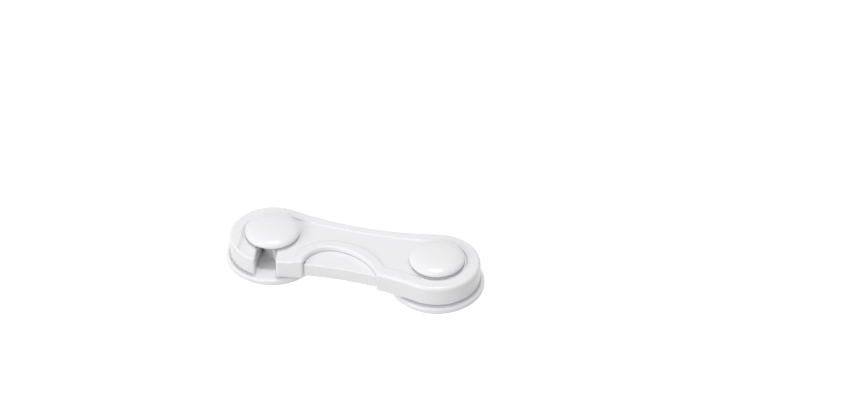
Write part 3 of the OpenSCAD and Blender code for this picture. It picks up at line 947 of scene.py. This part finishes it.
def recess_outline(size):
    """The edge of the sunk face: inside the rim, out at the jaw and round the raised arch."""
    arm = size.arm
    spacing = size.stud.spacing
    radius = arm.end_radius - arm.rim_end
    mid = -spacing / 2
    far = arm.waist - arm.rim_far
    near = arm.waist - arm.rim_near
    far_side, far_turn = waist_side(radius, far, spacing)
    near_radius = arm.end_radius - arm.rim_near_end
    near_side, near_turn = waist_side(near_radius, near, spacing)
    tight = arm.window_tight + arm.arch_width
    long = arm.window_long + arm.arch_width
    left = -spacing - radius
    near_at = (mid, -near_side - near)
    gap = math.dist(near_at, arm.long_at)
    along = (near_side ** 2 - long ** 2 + gap ** 2) / (2 * gap)
    up = math.sqrt(near_side ** 2 - along ** 2)
    way = (np.array(arm.long_at) - near_at) / gap
    meet = near_at + along * way + up * np.array((way[1], -way[0]))
    arch_end = math.degrees(math.atan2(meet[1] - arm.long_at[1], meet[0] - arm.long_at[0]))
    near_start = math.degrees(math.atan2(meet[1] - near_at[1], meet[0] - near_at[0]))
    # The rim narrows from its near width to its end width between two angles round the pivot
    turn = np.linspace(-near_turn, far_turn, 120)
    out = near_radius + (radius - near_radius) * eased(turn, -30, 10)
    pivot_end = out[:, None] * np.column_stack((np.cos(np.radians(turn)), np.sin(np.radians(turn))))
    # Beside the hook the edge leans in towards the mouth
    hook_top = (left + 0.9, -4.0)
    hook_low = (left + 1.7, arm.low_y)
    return joined(
        pivot_end,
        arc((mid, far_side + far), far_side, 180 + far_turn, 360 - far_turn),
        arc((-spacing, 0), radius, 180 - far_turn, 190),
        straight(hook_top, hook_low),
        straight(hook_low, (arm.crown_x - tight, arm.low_y)),
        straight((arm.crown_x - tight, arm.low_y), (arm.crown_x - tight, arm.tight_at[1])),
        arc(arm.tight_at, tight, 180, 90),
        arc(arm.long_at, long, 90, arch_end),
        arc(near_at, near_side, near_start, 180 - near_turn))


def hollow_test(size, play, reach):
    """A test for places in the lever's hollow, drawn in by a play, and the lines that bound it."""
    arm, spacing = size.arm, size.stud.spacing
    walls = waisted(arm.end_radius - arm.wall - play, arm.waist - arm.wall - play, spacing)
    back = arm.slot_in - arm.slot_wall - play
    step_y = size.lever.slot_wall_end - play

    def test(places):
        beside = within(places, (0, 0), arm.slot_in + reach) & (places[:, 1] < step_y)
        main = within(places, (0, 0), back) | beside
        return inside(places, walls) & main & ~within(places, (0, 0), arm.hub_radius + play)

    lines = [arc((0, 0), back, 160, 200), arc((0, 0), arm.slot_in + reach, 175, 200),
             straight((-spacing, step_y), (-spacing + 12, step_y))]
    return test, [walls, circle((0, 0), arm.hub_radius + play)], lines


def arm_solid(size):
    """Upper shell of the arm: rim, sunk face, hook, window, hub, hollow and screw bosses."""
    arm, lever, stud, screw = size.arm, size.lever, size.stud, size.screw
    sides = waisted(arm.end_radius, arm.waist, stud.spacing)
    slot = stem_slot(size)
    moon = half_moon(arm)
    outline = outlines([sides, slot, moon],
                       lambda p: inside(p, sides) & ~inside(p, slot) & ~inside(p, moon))[0]
    outline = round_corners(outline, arm.corner_round)
    recess = recess_outline(size)
    bore_radius = stud.stem_radius + arm.pivot_play
    boss = circle((0, 0), arm.boss_radius)
    boss_round = 0.3
    pin_hole = lever.pin_radius + PRESS_PLAY
    screw_hole = screw.cover_shank + PRESS_PLAY
    hollow, hollow_loops, hollow_lines = hollow_test(size, 0.0, PAST_EDGE)
    offsets = edge_offsets(arm.edge_round, 5) + edge_offsets(arm.far_round, 9)
    offsets += edge_offsets(arm.under_round, 3)
    loops = [outline, circle((0, 0), bore_radius), boss, moved_in(boss, boss_round), *hollow_loops]
    loops += [moved_in(outline, offset) for offset in offsets]
    for part in np.linspace(0.15, 1.05, 7):
        loops += [moved_in(recess, side * part * arm.step_soft / 2) for side in (-1, 1)]
    loops += [recess, circle(lever.pin, pin_hole, 0.2)]
    for at in arm.screw_places:
        loops += [circle(at, screw.boss, 0.4), circle(at, screw_hole, 0.2)]
    wall_end = arc(lever.pin, lever.pad_end, -50, -20)

    def region_of(places):
        numbers = np.where(inside(places, outline), 0, -1)
        material = numbers == 0
        swing = within(places, lever.pin, lever.pad_end) & (places[:, 0] > arm.crown_x)
        swing &= places[:, 1] < -arm.waist / 2
        numbers[material & (hollow(places) | swing)] = 1
        for at in arm.screw_places:
            numbers[within(places, at, screw.boss) & material] = 2
            numbers[within(places, at, screw_hole) & material] = 3
        numbers[within(places, lever.pin, pin_hole) & material] = 4
        numbers[within(places, (0, 0), arm.boss_radius)] = 5
        numbers[within(places, (0, 0), bore_radius)] = -1
        return numbers

    def face(places):
        x, y = places.T
        within_edge = distance(places, recess) * np.where(inside(places, recess), 1, -1)
        from_crown = x - arm.crown_x
        # The step is soft beside the jaw and along the near rim
        by_jaw = ramp(from_crown, 8, -2) * ramp(y, 4, 2)
        by_rim = ramp(from_crown, 15, 21) * ramp(y, -2, -4)
        width = arm.step_width + (arm.step_soft - arm.step_width) * np.maximum(by_jaw, by_rim)
        fall = eased(within_edge / width, -0.5, 0.5)
        # The sides' rounding goes from the near radius to the far one, and is small at the hook's mouth
        side = arm.near_round + (arm.far_round - arm.near_round) * ramp(y, -5, 5)
        hook = np.where(from_crown < -arm.window_tight, ramp(y, -9, -3), 1.0)
        side = arm.edge_round + (side - arm.edge_round) * hook
        drop = np.maximum(edge_drop(distance(places, sides), side),
                          edge_drop(distance(places, outline), arm.edge_round))
        # The sunk face runs out towards both rims, clear of the two caps
        clear = eased(x, -1, -11)
        near_run = eased(from_crown, 12, 22) * eased(y, 3, -7)
        far_run = eased(y, -3, 5) * eased(x + stud.spacing, 8, 18)
        run_out = clear * np.maximum(NEAR_RUN_OUT * near_run, FAR_RUN_OUT * far_run)
        depth = arm.recess_depth * (1 - run_out)
        return arm.rim_top - depth * fall - drop

    def under(places):
        return arm.bottom + edge_drop(distance(places, outline), arm.under_round)

    def boss_face(places):
        return arm.hub_top - edge_drop(arm.boss_radius - np.linalg.norm(places, axis=1), boss_round)

    levels = {0: (under, face), 1: (flat(arm.ceiling), face), 2: (flat(arm.cover_top), face),
              3: (flat(arm.floor - SCREW_SKIN), face), 4: (flat(arm.ceiling + PIN_BITE), face),
              5: (flat(arm.bottom), boss_face)}
    return plan_solid(loops, region_of, levels, [*hollow_lines, wall_end])


def cover_solid(size):
    """Cover in the arm's underside, cut away where the pad swings, with sunk screw holes."""
    arm, lever, screw = size.arm, size.lever, size.screw
    hollow, loops, lines = hollow_test(size, SINK_PLAY, -SINK_PLAY)
    swing = half_moon(arm, 2 * lever.lap, arm.window_tight * PAD_SWING)
    corner_round = 0.4
    edge_round = 0.25

    def plate(places):
        return hollow(places) & ~inside(places, swing)

    outline = round_corners(outlines([*loops, swing], plate, lines)[0], corner_round)
    pin_hole = lever.pin_radius + PRESS_PLAY
    hole = screw.cover_shank + RUN_PLAY
    sink = screw.cover_head + SINK_PLAY
    loops = [outline, circle(lever.pin, pin_hole, 0.2)]
    loops += [moved_in(outline, offset) for offset in edge_offsets(edge_round, 4)]
    for at in arm.screw_places:
        loops += [circle(at, hole, 0.2), circle(at, sink, 0.2)]

    def region_of(places):
        numbers = np.where(inside(places, outline), 0, -1)
        numbers[within(places, lever.pin, pin_hole)] = 2
        for at in arm.screw_places:
            numbers[within(places, at, sink)] = 1
            numbers[within(places, at, hole)] = -1
        return numbers

    def under(places):
        return arm.bottom + edge_drop(distance(places, outline), edge_round)

    levels = {0: (under, flat(arm.cover_top)),
              1: (flat(arm.bottom + screw.cover_head_height), flat(arm.cover_top)),
              2: (under, flat(arm.cover_top - arm.cover / 2))}
    return plan_solid(loops, region_of, levels)


def bar_outline(start, end, width):
    """Outline of a round-ended bar."""
    way = math.degrees(math.atan2(end[1] - start[1], end[0] - start[0]))
    return joined(arc(start, width / 2, way + 90, way + 270, 0.3),
                  arc(end, width / 2, way - 90, way + 90, 0.3))


def lever_solid(size):
    """One moulding: pad, tooth, the two bars that join them and the hub that turns on the pin."""
    arm, lever, stud = size.arm, size.lever, size.stud
    front = waisted(arm.end_radius - lever.setback, arm.waist - lever.setback, stud.spacing)
    moon = half_moon(arm, -lever.side_gap, lever.lap)
    lapped = half_moon(arm, lever.lap / 2, lever.lap)
    low_moon = half_moon(arm, -lever.gap, 0.0)
    pad_bar = bar_outline(lever.pin, lever.pad_root, lever.bar)
    tooth_bar = bar_outline(lever.pin, lever.root, lever.bar)
    tooth = np.array([lever.tip, lever.ramp, lever.ramp + (lever.bar, 0),
                      (lever.root[0] + lever.bar / 2, lever.root[1]),
                      (arm.slot_wall - arm.slot_in, -lever.tooth_back)])
    reach = arc(lever.pin, lever.pad_end - lever.gap, -90, 0)
    wall_y = arm.wall - arm.waist + lever.gap
    behind = straight((arm.crown_x - 2 * arm.window_tight, wall_y), (arm.crown_x, wall_y))
    flange = circle(lever.pin, lever.flange, 0.3)
    collar = circle(lever.pin, lever.collar, 0.2)
    hole_radius = lever.pin_radius + RUN_PLAY
    hole = circle(lever.pin, hole_radius, 0.2)
    room = circle(lever.pin, lever.leg_room, 0.3)
    corner_round = 0.25

    def pad(places):
        behind_wall = inside(places, lapped) & (places[:, 1] > wall_y)
        plan = inside(places, front) & (inside(places, moon) | behind_wall)
        return plan & within(places, lever.pin, lever.pad_end - lever.gap)

    def low_pad(places):
        plan = inside(places, front) & inside(places, low_moon)
        return plan & within(places, lever.pin, lever.pad_end - lever.gap)

    def arms(places):
        return inside(places, pad_bar) | inside(places, tooth_bar)

    def all_of_it(places):
        hub = within(places, lever.pin, lever.flange)
        return pad(places) | arms(places) | inside(places, tooth) | hub

    parts = [front, moon, lapped, pad_bar, tooth_bar, tooth, flange]
    outline = outlines(parts, all_of_it, [reach, behind])[0]
    outline = round_corners(outline, corner_round)
    pad_edge = outlines([front, moon, lapped], pad, [reach, behind])[0]
    low_edge = outlines([front, low_moon], low_pad, [reach])[0]
    loops = [outline, flange, collar, hole, room, pad_edge, low_edge]
    loops += [moved_in(outline, offset) for offset in edge_offsets(lever.edge_round, 5)]

    def region_of(places):
        numbers = np.where(inside(places, outline), 1, -1)
        material = numbers == 1
        numbers[material & ~inside(places, pad_bar)] = 4
        numbers[within(places, lever.pin, lever.leg_room) & material] = 2
        numbers[material & inside(places, tooth)] = 4
        numbers[material & inside(places, pad_edge)] = 1
        numbers[material & inside(places, low_edge)] = 0
        numbers[within(places, lever.pin, lever.collar)] = 3
        numbers[within(places, lever.pin, hole_radius)] = -1
        return numbers

    def face(places):
        return lever.top - edge_drop(distance(places, outline), lever.edge_round)

    def under(places):
        return lever.pad_bottom + edge_drop(distance(places, outline), lever.edge_round)

    def tooth_face(places):
        return lever.tooth_top - edge_drop(distance(places, outline), lever.edge_round)

    levels = {0: (under, face), 1: (flat(lever.bottom), face),
              2: (flat(lever.bottom), flat(lever.flange_top)), 3: (flat(lever.bottom), flat(lever.top)),
              4: (flat(lever.bottom), tooth_face)}
    return plan_solid(loops, region_of, levels)


def spring_line(size):
    """Middle line of the return spring: a leg to a screw boss, the coil and a leg on the tooth's bar."""
    lever, wire = size.lever, size.lever.wire_radius
    to_boss = np.array(size.arm.screw_places[0]) - lever.pin
    boss_room = size.screw.boss + wire + RUN_PLAY
    bar_way = (lever.root - lever.pin) / np.linalg.norm(lever.root - lever.pin)
    bar_side = np.array((-bar_way[1], bar_way[0]))
    rest = lever.pin + bar_way * (lever.spring_room + lever.bar) + bar_side * lever.leg_off
    far = np.linalg.norm(to_boss)
    first = math.degrees(math.atan2(to_boss[1], to_boss[0]) - math.asin(boss_room / far))
    leg = math.sqrt(far ** 2 - boss_room ** 2)
    held = lever.pin + leg * np.array((math.cos(math.radians(first)), math.sin(math.radians(first))))
    last = math.degrees(math.atan2(bar_way[1], bar_way[0]) + math.asin(lever.leg_off / lever.coil))
    last -= 360 * COIL_TURNS
    fall = lever.pitch / 360
    high = lever.coil_low + fall * (first - last)
    points = [(*held, high)]
    for a in np.linspace(first, last, 140):
        t = math.radians(a)
        points.append((lever.pin[0] + lever.coil * math.cos(t), lever.pin[1] + lever.coil * math.sin(t),
                       high - fall * (first - a)))
    points.append((*rest, lever.coil_low))
    return np.array(points)


def wire_solid(line, radius, sides=10):
    """Round wire along a line, with domed ends."""
    verts = []
    faces = []
    ways = np.gradient(line, axis=0)
    ways /= np.linalg.norm(ways, axis=1)[:, None]
    tip = 0.6
    tuck = radius * 0.4
    rings = [(line[0], ways[0], tip), (line[0] + ways[0] * tuck, ways[0], 1.0)]
    rings += [(point, way, 1.0) for point, way in zip(line[1:-1], ways[1:-1])]
    rings += [(line[-1] - ways[-1] * tuck, ways[-1], 1.0), (line[-1], ways[-1], tip)]
    for point, way, part in rings:
        across = np.cross(way, (0, 0, 1))
        across /= np.linalg.norm(across)
        up = np.cross(across, way)
        for k in range(sides):
            a = 2 * math.pi * k / sides
            verts.append(tuple(point + radius * part * (across * math.cos(a) + up * math.sin(a))))
    for row in range(len(rings) - 1):
        for k in range(sides):
            j = (k + 1) % sides
            low, high = row * sides, (row + 1) * sides
            faces.append([low + k, high + k, high + j, low + j])
    faces.append(list(range(sides)))
    faces.append(list(range(len(verts) - 1, len(verts) - 1 - sides, -1)))
    return verts, faces


# Operators

class LOCK_OT_foam_pads(bpy.types.Operator):
    """Build the adhesive foam discs under both studs"""

    bl_idname = "lock.foam_pads"
    bl_label = "Foam pads"

    def execute(self, context):
        size, looks = read_sizes(context.scene), finishes(context.scene)
        for name, centre in size.stud.places.items():
            pad = new_object(name + "_foam", *foam_solid(size.stud, centre), sharp=60.0)
            place(pad, "studs", "foam", looks["foam"], name + "_foam_pad")
        return {"FINISHED"}


class LOCK_OT_stud_bases(bpy.types.Operator):
    """Build the base plate and stem of both studs"""

    bl_idname = "lock.stud_bases"
    bl_label = "Stud bases"

    def execute(self, context):
        size, looks = read_sizes(context.scene), finishes(context.scene)
        feet = {"pivot": 0.0, "catch": size.stud.stem_foot}
        for name, centre in size.stud.places.items():
            profile = base_profile(size.stud, size.screw, feet[name])
            base = new_object(name + "_stud", *revolve(profile, centre, 160, True))
            place(base, "studs", "stud_plastic", looks["stud_plastic"], name + "_base")
        return {"FINISHED"}


class LOCK_OT_stud_caps(bpy.types.Operator):
    """Build the domed caps of both studs"""

    bl_idname = "lock.stud_caps"
    bl_label = "Stud caps"

    def execute(self, context):
        size, looks = read_sizes(context.scene), finishes(context.scene)
        profile = cap_profile(size.stud, size.screw.stud_shank + PRESS_PLAY)
        for name, centre in size.stud.places.items():
            cap = new_object(name + "_dome", *revolve(profile, centre, 144))
            place(cap, "studs", "cap_plastic", looks["cap_plastic"], name + "_cap")
        return {"FINISHED"}


class LOCK_OT_stud_screws(bpy.types.Operator):
    """Build the screws that hold the caps to their stems"""

    bl_idname = "lock.stud_screws"
    bl_label = "Stud screws"

    def execute(self, context):
        size, looks = read_sizes(context.scene), finishes(context.scene)
        low = BOX["pivot_screw"][0].z / MM
        tip = BOX["pivot_screw"][1].z / MM
        screw = size.screw
        for name, centre in size.stud.places.items():
            solid = threaded_screw(centre, low, screw.stud_head, screw.stud_head_height,
                                   screw.stud_shank, tip, screw.thread_depth)
            piece = new_object(name + "_cap_screw", *solid)
            place(piece, "studs", "steel", looks["steel"], name + "_screw")
        return {"FINISHED"}


class LOCK_OT_washer(bpy.types.Operator):
    """Build the thrust washer between the arm and the pivot base"""

    bl_idname = "lock.washer"
    bl_label = "Thrust washer"

    def execute(self, context):
        size, looks = read_sizes(context.scene), finishes(context.scene)
        low, high = (BOX["thrust_washer"][k].z / MM for k in (0, 1))
        hole = size.stud.stem_radius + RUN_PLAY
        rim = size.stud.washer_radius
        hole_round = 0.12
        rim_round = 0.18
        profile = rounded_line([(hole, low, hole_round), (rim, low, rim_round),
                                (rim, high, rim_round), (hole, high, hole_round)], 4)
        washer = new_object("pivot_washer", *revolve(profile, (0, 0), 120, True))
        place(washer, "studs", "washer_plastic", looks["washer_plastic"], "thrust_washer")
        return {"FINISHED"}


class LOCK_OT_arm_shell(bpy.types.Operator):
    """Build the arm's upper shell"""

    bl_idname = "lock.arm_shell"
    bl_label = "Arm shell"

    def execute(self, context):
        size, looks = read_sizes(context.scene), finishes(context.scene)
        shell = new_object("swing_arm", *arm_solid(size))
        place(shell, "arm", "arm_plastic", looks["arm_plastic"], "arm_shell")
        return {"FINISHED"}


class LOCK_OT_arm_cover(bpy.types.Operator):
    """Build the cover in the arm's underside"""

    bl_idname = "lock.arm_cover"
    bl_label = "Arm cover"

    def execute(self, context):
        size, looks = read_sizes(context.scene), finishes(context.scene)
        cover = new_object("swing_arm_cover", *cover_solid(size))
        place(cover, "arm", "arm_plastic", looks["arm_plastic"], "arm_cover")
        return {"FINISHED"}


class LOCK_OT_cover_screws(bpy.types.Operator):
    """Build the three screws that hold the cover"""

    bl_idname = "lock.cover_screws"
    bl_label = "Cover screws"

    def execute(self, context):
        size, looks = read_sizes(context.scene), finishes(context.scene)
        screw = size.screw
        tip = BOX["cover_screws"][1].z / MM
        solids = [threaded_screw(at, size.arm.bottom, screw.cover_head, screw.cover_head_height,
                                 screw.cover_shank, tip, screw.thread_depth)
                  for at in size.arm.screw_places]
        piece = new_object("swing_arm_screws", *merged(*solids))
        place(piece, "arm", "steel", looks["steel"], "cover_screws")
        return {"FINISHED"}


class LOCK_OT_lever(bpy.types.Operator):
    """Build the release lever: pad, tooth and hub"""

    bl_idname = "lock.lever"
    bl_label = "Release lever"

    def execute(self, context):
        size, looks = read_sizes(context.scene), finishes(context.scene)
        lever = new_object("press_lever", *lever_solid(size))
        place(lever, "lever", "lever_plastic", looks["lever_plastic"], "release_lever")
        return {"FINISHED"}


class LOCK_OT_lever_pin(bpy.types.Operator):
    """Build the pin that the lever turns on"""

    bl_idname = "lock.lever_pin"
    bl_label = "Lever pin"

    def execute(self, context):
        size, looks = read_sizes(context.scene), finishes(context.scene)
        low, high = (BOX["lever_pin"][k].z / MM for k in (0, 1))
        radius = size.lever.pin_radius
        chamfer = 0.2
        profile = [(0, low), (radius - chamfer, low), (radius, low + chamfer), (radius, high - chamfer),
                   (radius - chamfer, high), (0, high)]
        pin = new_object("press_lever_pin", *revolve(profile, size.lever.pin, 48))
        place(pin, "arm", "steel", looks["steel"], "lever_pin")
        return {"FINISHED"}


class LOCK_OT_lever_spring(bpy.types.Operator):
    """Build the torsion spring that returns the lever"""

    bl_idname = "lock.lever_spring"
    bl_label = "Return spring"

    def execute(self, context):
        size, looks = read_sizes(context.scene), finishes(context.scene)
        lever = size.lever
        line = spring_line(size)
        spring = new_object("press_lever_spring", *wire_solid(line, lever.wire_radius), sharp=60.0)
        spring.data.materials.append(looks["steel"])
        middle = np.array((*lever.pin, lever.coil_low))
        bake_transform(spring)
        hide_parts("lever_spring")
        return {"FINISHED"}


def area_light(name, power, place_at, size):
    """A soft rectangular light that looks at the lock."""
    data = bpy.data.lights.new(name, "AREA")
    data.shape = "RECTANGLE"
    data.size, data.size_y = size
    data.energy = power
    light = bpy.data.objects.new(name, data)
    bpy.context.scene.collection.objects.link(light)
    light.location = place_at
    light.rotation_euler = (Vector(LIT_PLACE) - Vector(place_at)).to_track_quat("-Z", "Y").to_euler()
    light.visible_camera = False


def floor_finish():
    """Pale sweep that is lit through from below, so that it stays even."""
    finish, tree, shader = new_finish("floor_sweep")
    tone = tinted(tree, noise(tree, 3.0, 2.0), (0.14, 0.14, 0.14), (0.16, 0.16, 0.16))
    tree.links.new(tone, shader.inputs["Base Color"])
    shader.inputs["Roughness"].default_value = 0.9
    shader.inputs["Specular IOR Level"].default_value = 0.1
    shader.inputs["Emission Color"].default_value = (1, 1, 1, 1)
    shader.inputs["Emission Strength"].default_value = 1.0
    return finish


class LOCK_OT_stage(bpy.types.Operator):
    """Set up the floor, the soft studio light and the camera"""

    bl_idname = "lock.stage"
    bl_label = "Stage"

    def execute(self, context):
        scene = context.scene
        stage = scene.lock_stage
        half = stage.floor_size / 2
        mesh = bpy.data.meshes.new("floor")
        corners = [(-half, -half, 0), (half, -half, 0), (half, half, 0), (-half, half, 0)]
        mesh.from_pydata(corners, [], [(0, 1, 2, 3)])
        mesh.materials.append(floor_finish())
        floor = bpy.data.objects.new("floor", mesh)
        floor.location.z = -FLOOR_DROP
        scene.collection.objects.link(floor)
        floor.visible_diffuse = False
        area_light("key_light", stage.key_power, KEY_PLACE, KEY_SIZE)
        area_light("fill_light", stage.fill_power, FILL_PLACE, FILL_SIZE)
        world = bpy.data.worlds.new("room")
        world.use_nodes = True
        background = world.node_tree.nodes["Background"]
        background.inputs["Color"].default_value = (1, 1, 1, 1)
        background.inputs["Strength"].default_value = stage.sky
        scene.world = world
        data = bpy.data.cameras.new("camera")
        data.lens = stage.lens
        data.sensor_width = 36.0
        camera = bpy.data.objects.new("camera", data)
        camera.location = stage.camera_place
        look = Vector(stage.camera_target) - Vector(stage.camera_place)
        camera.rotation_euler = look.to_track_quat("-Z", "Y").to_euler()
        scene.collection.objects.link(camera)
        scene.camera = camera
        scene.view_settings.view_transform = "Standard"
        return {"FINISHED"}


OPERATORS = (
    LOCK_OT_stage, LOCK_OT_foam_pads, LOCK_OT_stud_bases, LOCK_OT_stud_caps, LOCK_OT_stud_screws,
    LOCK_OT_washer, LOCK_OT_arm_shell, LOCK_OT_arm_cover, LOCK_OT_cover_screws, LOCK_OT_lever,
    LOCK_OT_lever_pin, LOCK_OT_lever_spring)


class LOCK_PT_pieces(bpy.types.Panel):
    """Lists the lock's pieces and their sizes"""

    bl_idname = "LOCK_PT_pieces"
    bl_label = "Cabinet safety lock"
    bl_space_type = "VIEW_3D"
    bl_region_type = "UI"
    bl_category = "Lock"

    def draw(self, context):
        column = self.layout.column()
        for operator in OPERATORS:
            column.operator(operator.bl_idname)
        for name in GROUPS:
            group = getattr(context.scene, name)
            box = self.layout.box()
            box.label(text=group.bl_rna.description)
            for prop in group.bl_rna.properties:
                if prop.identifier not in ("rna_type", "name"):
                    box.prop(group, prop.identifier)


def register():
    for kind in (*GROUPS.values(), *OPERATORS, LOCK_PT_pieces):
        bpy.utils.register_class(kind)
    for name, kind in GROUPS.items():
        setattr(bpy.types.Scene, name, bpy.props.PointerProperty(type=kind))


def unregister():
    for name in GROUPS:
        delattr(bpy.types.Scene, name)
    for kind in reversed((*GROUPS.values(), *OPERATORS, LOCK_PT_pieces)):
        bpy.utils.unregister_class(kind)


def main():
    register()
    for operator in OPERATORS:
        group, name = operator.bl_idname.split(".")
        getattr(getattr(bpy.ops, group), name)()
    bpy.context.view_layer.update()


if __name__ == "__main__":
    main()
